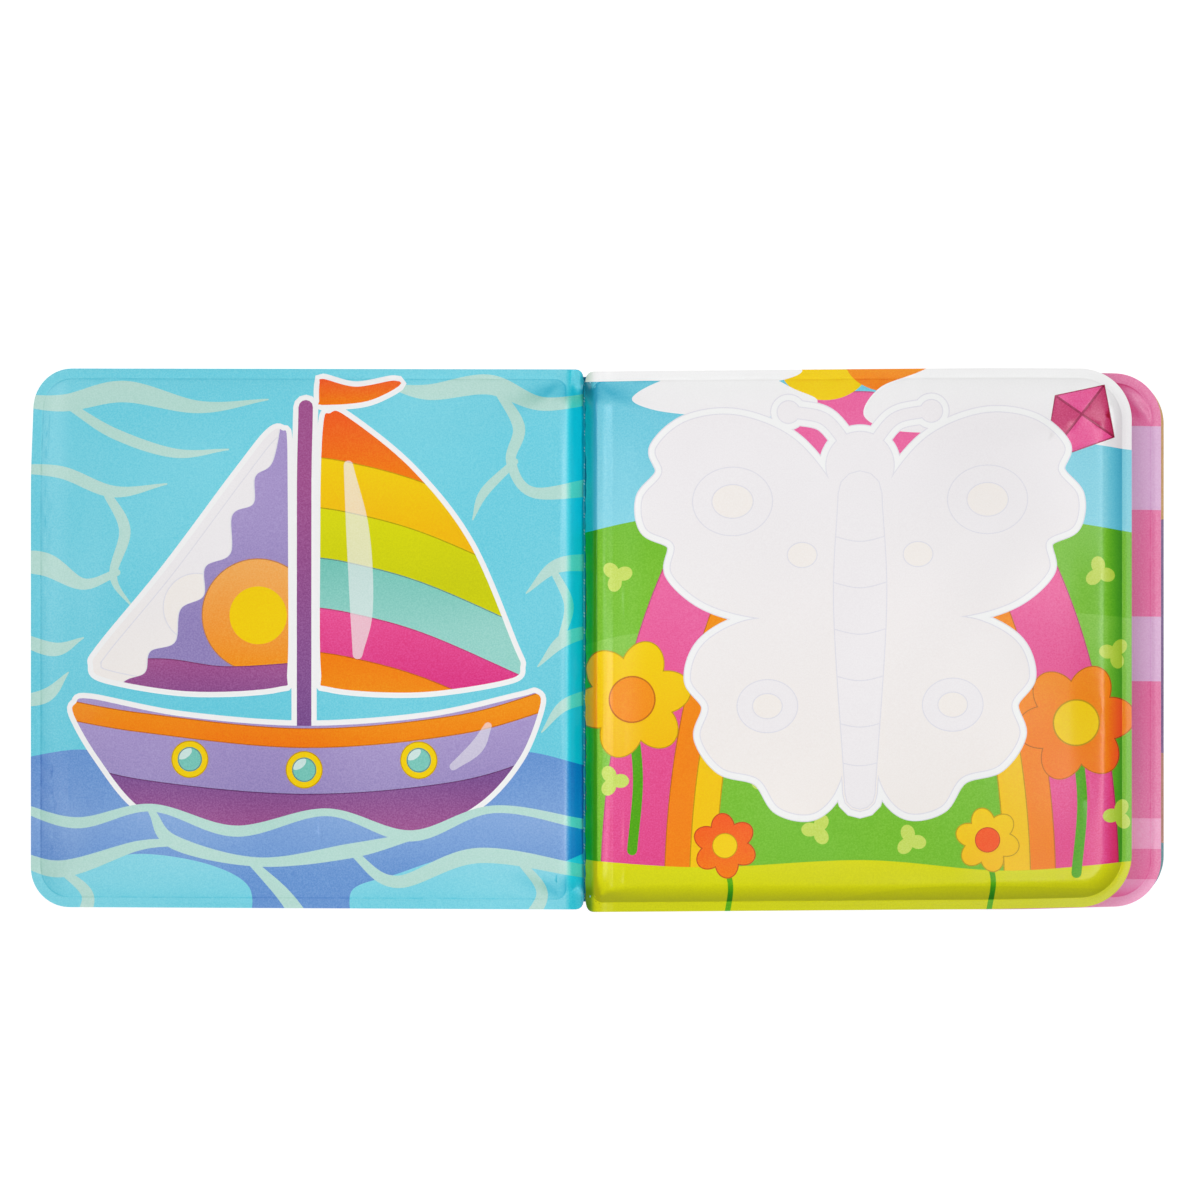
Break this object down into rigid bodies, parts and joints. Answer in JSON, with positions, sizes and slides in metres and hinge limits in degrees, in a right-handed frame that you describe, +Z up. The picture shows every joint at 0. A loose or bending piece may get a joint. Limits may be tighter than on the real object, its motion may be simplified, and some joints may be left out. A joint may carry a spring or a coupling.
{
  "type": "bath book",
  "caption": "Square soft bath book of padded, welded film leaves sewn along the fold, lying open after its front cover.",
  "frame": {"origin": "on the surface that the book lies on, under the middle of the open book's box", "axes": "+X runs across the open book from the front cover to the page stack, +Y along the fold towards the top of the pages, +Z up"},
  "size_m": [0.2954, 0.14, 0.0156],
  "materials": {
    "front_cover_film": "printed soft film with a satin gloss",
    "page_film": "printed soft film with a satin gloss",
    "back_cover_film": "printed soft film with a satin gloss",
    "thread": "twisted synthetic sewing thread"
  },
  "bodies": {
    "rear": {"back_cover": "back_cover_film", "stitching": "thread"},
    "front": {"front_cover": "front_cover_film"},
    "pages": {"inner_pages": "page_film"}
  },
  "joints": [
    {"name": "front_cover_hinge", "type": "hinge", "parent": "rear", "child": "front", "pos_m": [-0.00373, 0, 0.01443], "axis": [0, 1, 0], "range_deg": [0, 179]},
    {"name": "pages_hinge", "type": "hinge", "parent": "rear", "child": "pages", "pos_m": [-0.00373, 0, 0.01443], "axis": [0, -1, 0], "range_deg": [0, 179]}
  ]
}
